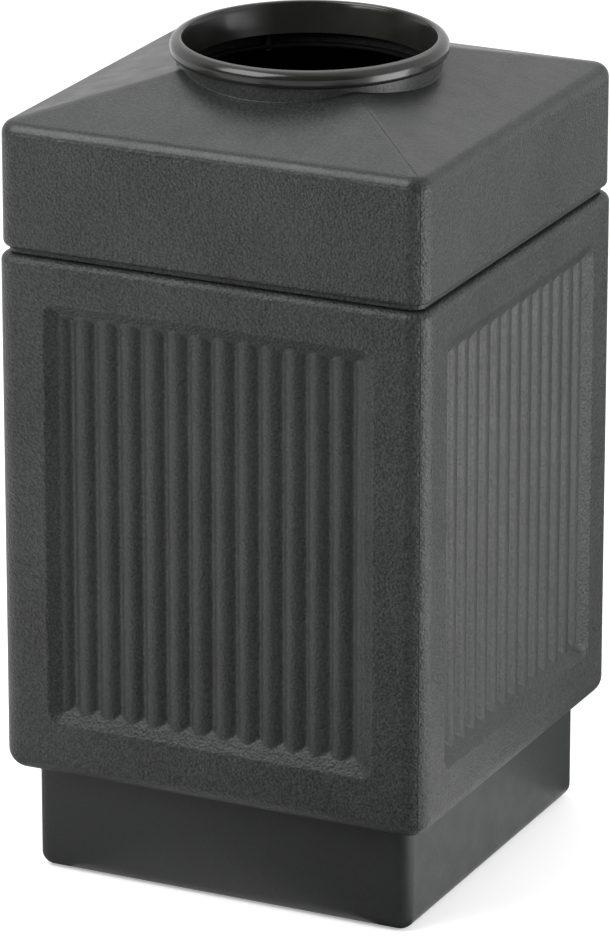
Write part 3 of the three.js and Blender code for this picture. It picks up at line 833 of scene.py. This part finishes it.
def build_ring():
    lean = (RING_LIP - RING_THROAT) / (RING_TOP - RING_THROAT_BOTTOM)
    channel_top = lid_high[2] + 0.3
    throat_outer = RING_THROAT + RING_THROAT_WALL
    channel_inner = throat_outer + lean * (channel_top - RING_THROAT_BOTTOM)
    skirt_inner = NECK_RADIUS + 0.3
    edge = RING_THROAT_WALL / 2
    profile = arc(RING_THROAT + edge, RING_THROAT_BOTTOM + edge, edge, 180, 360, 8)
    profile += [
        (channel_inner - 1, channel_top - 8),
        (channel_inner + 0.4, channel_top - 0.6),
        (channel_inner + 1.2, channel_top),
        (skirt_inner - 0.8, channel_top),
        (skirt_inner, channel_top - 0.8),
        (skirt_inner, RING_SKIRT_BOTTOM + 0.6),
        (skirt_inner + 0.6, RING_SKIRT_BOTTOM),
    ]
    under = RING_UNDER_ROUNDING
    profile += arc(RING_RIM - under, RING_SKIRT_BOTTOM + under, under, -90, 0, 8)
    profile += arc(RING_RIM - RING_ROUNDING, RING_TOP - RING_ROUNDING, RING_ROUNDING, 0, 88, 12)
    lip = RING_LIP_ROUNDING
    profile += arc(RING_LIP + lip, RING_TOP - lip, lip, 92, 180, 8)
    profile += [(RING_LIP - lean * 6, RING_TOP - 6), (RING_THROAT + lean * 6, RING_THROAT_BOTTOM + 6)]
    boss_bore = BOSS_RADIUS - BOSS_WALL
    boss = [
        (boss_bore, SEAT_BOTTOM), (BOSS_RADIUS, SEAT_BOTTOM),
        (BOSS_RADIUS, BOSS_TOP), (boss_bore, BOSS_TOP),
    ]
    bosses = []
    for turn in range(4):
        angle = math.radians(45 + 90 * turn)
        place = (BOSS_PLACE * math.cos(angle), BOSS_PLACE * math.sin(angle), 0)
        bosses.append(moved(turned(boss, 24), place))
    piece = mesh_object("opening_ring_polished", *merged(turned(profile), *bosses))
    weighted_normals(piece)
    finish_piece(piece, gloss_black, "gloss_black_plastic", "lid", "opening_ring")


def build_collar():
    low, high = box_mm("ring_clamp_collar")
    outer = high[0]
    inner = COLLAR_INNER
    bevel = 0.5
    bottom, top = low[2], high[2]
    profile = [
        (inner, bottom + bevel), (inner + bevel, bottom), (outer - bevel, bottom), (outer, bottom + bevel),
        (outer, top - bevel), (outer - bevel, top), (inner + bevel, top), (inner, top - bevel),
    ]
    piece = mesh_object("ring_clamp_collar_moulding", *turned(profile))
    weighted_normals(piece)
    finish_piece(piece, dull_black, "gloss_black_plastic", "lid", "ring_clamp_collar")


def threaded_rows(radius, depth, pitch, top, end, steps=24):
    """Rows down a helical thread, with a lead-in at its end."""
    angles = np.linspace(0, 2 * math.pi, steps, endpoint=False)
    rows = []
    for z in np.arange(top, end, -pitch / 6):
        phase = (z / pitch + angles / (2 * math.pi)) % 1
        lead_in = max(0, 1 - (z - end) / depth) * depth
        radii = np.minimum(radius - depth * np.abs(2 * phase - 1), radius - lead_in)
        rows.append(np.column_stack([radii * np.cos(angles), radii * np.sin(angles), np.full(steps, z)]))
    return rows


def build_ring_screws():
    low, high = box_mm("ring_screw_1")
    head_top = low[2] + SCREW_HEAD_HEIGHT
    steps = 24
    angles = np.linspace(0, 2 * math.pi, steps, endpoint=False)
    circle = np.stack([np.cos(angles), np.sin(angles)], axis=1)
    head = [
        (SCREW_HEAD - 1.4, low[2]), (SCREW_HEAD - 0.6, low[2] + 0.25),
        (SCREW_HEAD - 0.1, low[2] + 0.9), (SCREW_HEAD, head_top),
    ]
    rows = [np.column_stack([circle * r, np.full(steps, z)]) for r, z in head]
    thread = threaded_rows(SCREW_SHANK, SCREW_THREAD_DEPTH, SCREW_PITCH, high[2], head_top, steps)
    screw = skin(rows + thread[::-1], cap_first=True, cap_last=True)
    screws = []
    for turn in range(4):
        angle = math.radians(45 + 90 * turn)
        screws.append(moved(screw, (BOSS_PLACE * math.cos(angle), BOSS_PLACE * math.sin(angle), 0)))
    piece = mesh_object("ring_screws", *merged(*screws))
    piece.data.set_sharp_from_angle(angle=math.radians(50))
    finish_piece(piece, zinc_steel, "zinc_steel", "lid", *[f"ring_screw_{i}" for i in range(1, 5)])


# ---------------------------------------------------------------- liner

def build_liner():
    bottom, top = liner_low[2], liner_high[2]
    shoulder = bottom + LINER_FLOOR_FILLET
    flat_half = LINER_TOP_HALF - LINER_CORNER
    columns = square_columns(flat_half, np.linspace(-flat_half, flat_half, 13))

    def outer(z):
        return LINER_BOTTOM_HALF + (LINER_TOP_HALF - LINER_BOTTOM_HALF) * (z - bottom) / (top - bottom)

    def square(half, z):
        return square_row(columns, half, max(half - LINER_TOP_HALF + LINER_CORNER, LINER_CORNER / 2), z)

    floor_half = outer(shoulder) - LINER_FLOOR_FILLET
    rows = [square(60, bottom), square(floor_half - 8, bottom)]
    rows += [square(half, z) for half, z in arc(floor_half, shoulder, LINER_FLOOR_FILLET, -90, 0)]
    rows += [square(outer(z), z) for z in np.linspace(shoulder + 10, top - 12, 6)]
    under = top - LINER_WALL
    rows += [square(outer(under), under - 1), square(outer(under) + 1, under)]
    curl_inner = LINER_RIM_HALF - 2.2
    lip = top - LINER_RIM_DEPTH
    rows += [square(curl_inner - 0.6, under), square(curl_inner, under - 0.6)]
    rows += [square(curl_inner, lip + 0.6), square(curl_inner + 0.6, lip)]
    rows += [square(LINER_RIM_HALF - 0.6, lip), square(LINER_RIM_HALF, lip + 0.6)]
    rows += [square(half, z) for half, z in arc(LINER_RIM_HALF - 2.5, top - 2.5, 2.5, 0, 90)]
    inner_top = outer(top) - LINER_WALL
    rows += [square(half, z) for half, z in arc(inner_top + 1.5, top - 1.5, 1.5, 90, 180, 5)]
    rows += [square(outer(z) - LINER_WALL, z) for z in np.linspace(top - 12, shoulder + 10, 6)]
    inner_floor = bottom + LINER_WALL
    fillet = LINER_FLOOR_FILLET - 1
    inner_half = outer(shoulder) - LINER_WALL - fillet
    rows += [square(half, z) for half, z in arc(inner_half, inner_floor + fillet, fillet, 0, -90)]
    rows += [square(inner_half - 8, inner_floor), square(60, inner_floor)]
    piece = mesh_object("liner_moulding", *skin(rows, cap_first=True, cap_last=True))
    weighted_normals(piece)
    finish_piece(piece, liner_black, "liner_plastic", "liner", "inner_liner")


def handle_path():
    """The handle's centre line, from one end of the wire to the other."""
    leg, bend = HANDLE_LEG, HANDLE_BEND
    foot = PIVOT_Z - HANDLE_DROP
    half = [(0, foot)]
    half += arc(leg - bend, foot + bend, bend, -90, 0)
    half += arc(leg + bend, PIVOT_Z - bend, bend, 180, 90)
    half += [(HANDLE_END, PIVOT_Z)]
    mirrored = [(-y, z) for y, z in half[:0:-1]]
    return [(PIVOT_X, y, z) for y, z in mirrored + half]


def grip_sleeve():
    """A soft sleeve with round grooves, lying along +Y round the handle's wire."""
    half = GRIP_LENGTH / 2
    ridged = [
        (GRIP_OUTER - GRIP_GROOVE_DEPTH * math.cos(math.pi * place / GRIP_GROOVE_PITCH) ** 8, place)
        for place in np.linspace(GRIP_PLAIN_END - half, half - GRIP_PLAIN_END, 85)
    ]
    rounding = GRIP_ROUNDING
    start = arc(GRIP_OUTER - rounding, rounding - half, rounding, -90, 0, 5)
    end = arc(GRIP_OUTER - rounding, half - rounding, rounding, 0, 90, 5)
    profile = [(GRIP_BORE, -half), *start, *ridged, *end, (GRIP_BORE, half)]
    return moved(laid_along_y(turned(profile, 40)), (PIVOT_X, 0, PIVOT_Z - HANDLE_DROP))


def bracket_part(side):
    """A riveted plate on the liner's wall with a round-ended ear for the wire."""
    low, high = box_mm("handle_bracket_right_1")
    plate_half_y, plate_half_z = (high[1] - low[1]) / 2, (high[2] - low[2]) / 2
    centre_y = side * BRACKET_PLACE
    wall_x = high[0]

    def plate_row(x, inset):
        corner = PLATE_CORNER
        turns = []
        for sign_y, sign_z, start in ((1, 1, 0), (-1, 1, 90), (-1, -1, 180), (1, -1, 270)):
            y = sign_y * (plate_half_y - corner)
            z = sign_z * (plate_half_z - corner)
            turns += arc(y, z, corner - inset, start, start + 90, 6)
        return np.array([(x, centre_y + y, PIVOT_Z + z) for y, z in turns])

    bevel = 0.4
    front_x = wall_x - PLATE_THICKNESS
    levels = [(wall_x, bevel), (wall_x - bevel, 0), (front_x + bevel, 0), (front_x, bevel)]
    plate = skin([plate_row(x, inset) for x, inset in levels], cap_first=True, cap_last=True)

    ear_half = EAR_HEIGHT / 2
    ear_centre = low[0] + ear_half
    root = front_x + 1
    outline = [(root, ear_half), *arc(ear_centre, 0, ear_half, 90, 270, 22), (root, -ear_half)]
    hole = [
        (PIVOT_X + EAR_BORE * math.cos(angle), EAR_BORE * math.sin(angle))
        for angle in np.linspace(math.radians(50), math.radians(310), len(outline))
    ]

    def ear_row(places, y):
        return np.array([(x, centre_y + y, PIVOT_Z + z) for x, z in places])

    half = EAR_THICKNESS / 2
    loops = [(hole, -half), (outline, -half), (outline, half), (hole, half)]
    ear = skin([ear_row(places, y) for places, y in loops], close_rows=True)
    return merged(plate, ear)


def rivet_part(y, z):
    """A domed rivet through a bracket and the liner's wall, lying along +X."""
    low, high = box_mm("bracket_rivet_right_1")
    head_low = low[0]
    head_high = head_low + RIVET_HEAD_HEIGHT
    tail_low = high[0] - RIVET_HEAD_HEIGHT
    dome = [
        (r, head_high - RIVET_HEAD_HEIGHT * math.sqrt(1 - (r / RIVET_HEAD) ** 2))
        for r in (0.6, 1.6, 2.6, 3.3, 3.7)
    ]
    profile = [*dome, (RIVET_HEAD, head_high), (RIVET_SHANK, head_high), (RIVET_SHANK, tail_low)]
    profile += [(RIVET_TAIL - 0.2, tail_low), (RIVET_TAIL, tail_low + 0.3)]
    profile += [(RIVET_TAIL - 0.4, high[0] - 0.2), (0.6, high[0])]
    return moved(laid_along_x(turned(profile, 24, closed=False)), (0, y, z))


def build_handles():
    wire = planar_tube(handle_path(), WIRE_RADIUS, (1, 0, 0))
    brackets, rivets = [], []
    for quarters, place in ((0, "right"), (2, "left")):
        bail = mesh_object(f"{place}_handle_wire", *swung(wire, quarters))
        finish_piece(bail, zinc_steel, "zinc_steel", f"{place}_handle", f"liner_handle_{place}")
        sleeve = mesh_object(f"{place}_handle_sleeve", *swung(grip_sleeve(), quarters))
        finish_piece(sleeve, grip_black, "grip_plastic", f"{place}_handle", f"handle_grip_{place}")
        for side in (1, -1):
            brackets.append(swung(bracket_part(side), quarters))
            for end in (1, -1):
                y = side * (BRACKET_PLACE + end * RIVET_OUT)
                rivets.append(swung(rivet_part(y, PIVOT_Z + end * RIVET_RISE), quarters))
    places = ("right", "left")
    plates = mesh_object("handle_brackets", *merged(*brackets))
    plates.data.set_sharp_from_angle(angle=math.radians(50))
    names = [f"handle_bracket_{place}_{i}" for place in places for i in (1, 2)]
    finish_piece(plates, zinc_steel, "zinc_steel", "liner", *names)
    heads = mesh_object("bracket_rivets", *merged(*rivets))
    heads.data.set_sharp_from_angle(angle=math.radians(50))
    names = [f"bracket_rivet_{place}_{i}" for place in places for i in range(1, 5)]
    finish_piece(heads, zinc_steel, "zinc_steel", "liner", *names)


# ---------------------------------------------------------------- fasteners between body and plinth

def hexagon(flats, steps=48):
    """Angles round a hexagon, its radius at each, and the drop of its chamfer."""
    angles = np.linspace(0, 2 * math.pi, steps, endpoint=False)
    radii = (flats / 2) / np.cos(angles % (math.pi / 3) - math.pi / 6)
    flat_circle = 0.96 * flats / 2
    drop = (radii - flat_circle) * math.tan(math.radians(30))
    return angles, radii, flat_circle, drop


def ring_row(angles, radii, heights):
    count = len(angles)
    radii = np.broadcast_to(radii, count)
    heights = np.broadcast_to(heights, count)
    return np.column_stack([radii * np.cos(angles), radii * np.sin(angles), heights])


def bolt_part():
    low, high = box_mm("base_bolt_1")
    under_head = high[2] - BOLT_HEAD_HEIGHT
    angles, radii, circle, drop = hexagon(HEX_FLATS)
    rows = [ring_row(angles, circle, high[2]), ring_row(angles, radii, high[2] - drop)]
    rows += [ring_row(angles, radii, under_head)]
    thread = threaded_rows(BOLT_SHANK, BOLT_THREAD_DEPTH, BOLT_PITCH, under_head, low[2], len(angles))
    return skin(rows + thread, cap_first=True, cap_last=True)


def nut_part():
    low, high = box_mm("base_nut_1")
    angles, radii, circle, drop = hexagon(HEX_FLATS)
    levels = [
        (circle, high[2]), (radii, high[2] - drop), (radii, low[2] + drop), (circle, low[2]),
        (FASTENER_BORE + 0.5, low[2]), (FASTENER_BORE, low[2] + 0.5),
        (FASTENER_BORE, high[2] - 0.5), (FASTENER_BORE + 0.5, high[2]),
    ]
    return skin([ring_row(angles, r, z) for r, z in levels], close_rows=True)


def washer_part(node):
    low, high = box_mm(node)
    outer = (high[0] - low[0]) / 2
    edge = 0.25
    profile = [
        (FASTENER_BORE, low[2]), (outer - edge, low[2]), (outer, low[2] + edge),
        (outer, high[2] - edge), (outer - edge, high[2]), (FASTENER_BORE, high[2]),
    ]
    return turned(profile, 48)


def build_base_fasteners():
    kinds = {
        "base_bolt": bolt_part(),
        "base_upper_washer": washer_part("base_upper_washer_1"),
        "base_lower_washer": washer_part("base_lower_washer_1"),
        "base_nut": nut_part(),
    }
    for kind, part in kinds.items():
        low, high = box_mm(f"{kind}_1")
        place = (low[0] + high[0]) / 2
        copies = [swung(moved(part, (place, place, 0)), quarters) for quarters in range(4)]
        piece = mesh_object(f"{kind}s", *merged(*copies))
        piece.data.set_sharp_from_angle(angle=math.radians(40))
        finish_piece(piece, zinc_steel, "zinc_steel", "bin_base", *[f"{kind}_{i}" for i in range(1, 5)])


# ---------------------------------------------------------------- camera, floor and lights

TARGET = Vector((-0.005, 0, 0.3885))
CAMERA_AZIMUTH = math.radians(25.6)
CAMERA_ELEVATION = math.radians(19.4)
CAMERA_DISTANCE = 6.63
CAMERA_LENS = 252.3


def direction(azimuth, elevation):
    """The way from the object to a camera or light at these angles, in radians."""
    return Vector((
        math.sin(azimuth) * math.cos(elevation),
        -math.cos(azimuth) * math.cos(elevation),
        math.sin(elevation),
    ))


def add_camera():
    camera = bpy.data.objects.new("camera", bpy.data.cameras.new("camera"))
    bpy.context.scene.collection.objects.link(camera)
    back = direction(CAMERA_AZIMUTH, CAMERA_ELEVATION)
    camera.location = TARGET + back * CAMERA_DISTANCE
    camera.rotation_euler = (-back).to_track_quat("-Z", "Y").to_euler()
    camera.data.lens = CAMERA_LENS
    camera.data.sensor_width = 36
    camera.data.clip_end = 100
    bpy.context.scene.camera = camera


def add_softbox(name, azimuth, elevation, distance, width, height, power):
    """A rectangular light that faces the object."""
    light = bpy.data.lights.new(name, "AREA")
    light.shape = "RECTANGLE"
    light.size = width
    light.size_y = height
    light.energy = power
    lamp = bpy.data.objects.new(name, light)
    lamp.visible_camera = False
    bpy.context.scene.collection.objects.link(lamp)
    back = direction(math.radians(azimuth), math.radians(elevation))
    lamp.location = TARGET + back * distance
    lamp.rotation_euler = (-back).to_track_quat("-Z", "Y").to_euler()


FLAG_NEAR = 0.31
FLAG_HEIGHT = 0.002


def add_flag(name, left, right, reach, grey):
    """A dark card on the floor between two azimuths in degrees, from near the object out
    to reach. It deepens the shading as a photographer's flag does: the camera doesn't see
    it, and only reflections in the object show it."""
    corners = ((left, FLAG_NEAR), (right, FLAG_NEAR), (right, reach), (left, reach))
    places = [direction(math.radians(azimuth), 0) * radius for azimuth, radius in corners]
    mesh = bpy.data.meshes.new(name)
    mesh.from_pydata([(place.x, place.y, FLAG_HEIGHT) for place in places], [], [(0, 1, 2, 3)])
    flag = bpy.data.objects.new(name, mesh)
    bpy.context.scene.collection.objects.link(flag)
    flag.visible_camera = False
    flag.visible_shadow = False
    flag.visible_diffuse = False
    material, nodes, _links = new_material(name)
    nodes["Principled BSDF"].inputs["Base Color"].default_value = (grey, grey, grey, 1)
    mesh.materials.append(material)


FLOOR_HALF = 30.0
FLOOR_LEVEL = -0.0005  # just clear of the plinth's foot
FLOOR_GLOW = 0.36


def add_floor():
    square = ((-1, -1), (1, -1), (1, 1), (-1, 1))
    corners = [(FLOOR_HALF * x, FLOOR_HALF * y, FLOOR_LEVEL) for x, y in square]
    mesh = bpy.data.meshes.new("floor")
    mesh.from_pydata(corners, [], [(0, 1, 2, 3)])
    floor = bpy.data.objects.new("floor", mesh)
    bpy.context.scene.collection.objects.link(floor)
    material, nodes, _links = new_material("pale_floor")
    nodes["Principled BSDF"].inputs["Base Color"].default_value = (0.9, 0.9, 0.9, 1)
    nodes["Principled BSDF"].inputs["Roughness"].default_value = 0.9
    nodes["Principled BSDF"].inputs["Emission Color"].default_value = (1, 1, 1, 1)
    nodes["Principled BSDF"].inputs["Emission Strength"].default_value = FLOOR_GLOW
    mesh.materials.append(material)


def add_studio(front, back):
    """A white backdrop round the sides and back, with a dimmer studio in front."""
    world = bpy.data.worlds.new("studio")
    world.use_nodes = True
    nodes, links = world.node_tree.nodes, world.node_tree.links
    split = nodes.new("ShaderNodeSeparateXYZ")
    links.new(nodes.new("ShaderNodeTexCoord").outputs["Generated"], split.inputs["Vector"])
    strength = remap(nodes, links, split.outputs["Y"], -0.5, -0.05, front, back)
    links.new(strength, nodes["Background"].inputs["Strength"])
    nodes["Background"].inputs["Color"].default_value = (1, 1, 1, 1)
    bpy.context.scene.world = world


# ---------------------------------------------------------------- assembly

bpy.context.scene.view_settings.view_transform = "Standard"
add_camera()
add_floor()
add_flag("front_flag", left=-15, right=58, reach=3.0, grey=0.02)
add_flag("left_flag", left=-80, right=-15, reach=0.65, grey=0.45)
add_flag("back_flag", left=128, right=205, reach=4.0, grey=0.15)
add_studio(front=0.08, back=0.95)
add_softbox("key_softbox", -35, 47, distance=3.0, width=1.9, height=2.2, power=81)
add_softbox("right_softbox", 93, 4, distance=1.5, width=0.9, height=1.0, power=16)
add_softbox("top_softbox", -162, 58, distance=3.5, width=2.5, height=2.5, power=16)

build_body()
build_lid()
build_plinth()
build_ring()
build_collar()
build_ring_screws()
build_liner()
build_handles()
build_base_fasteners()
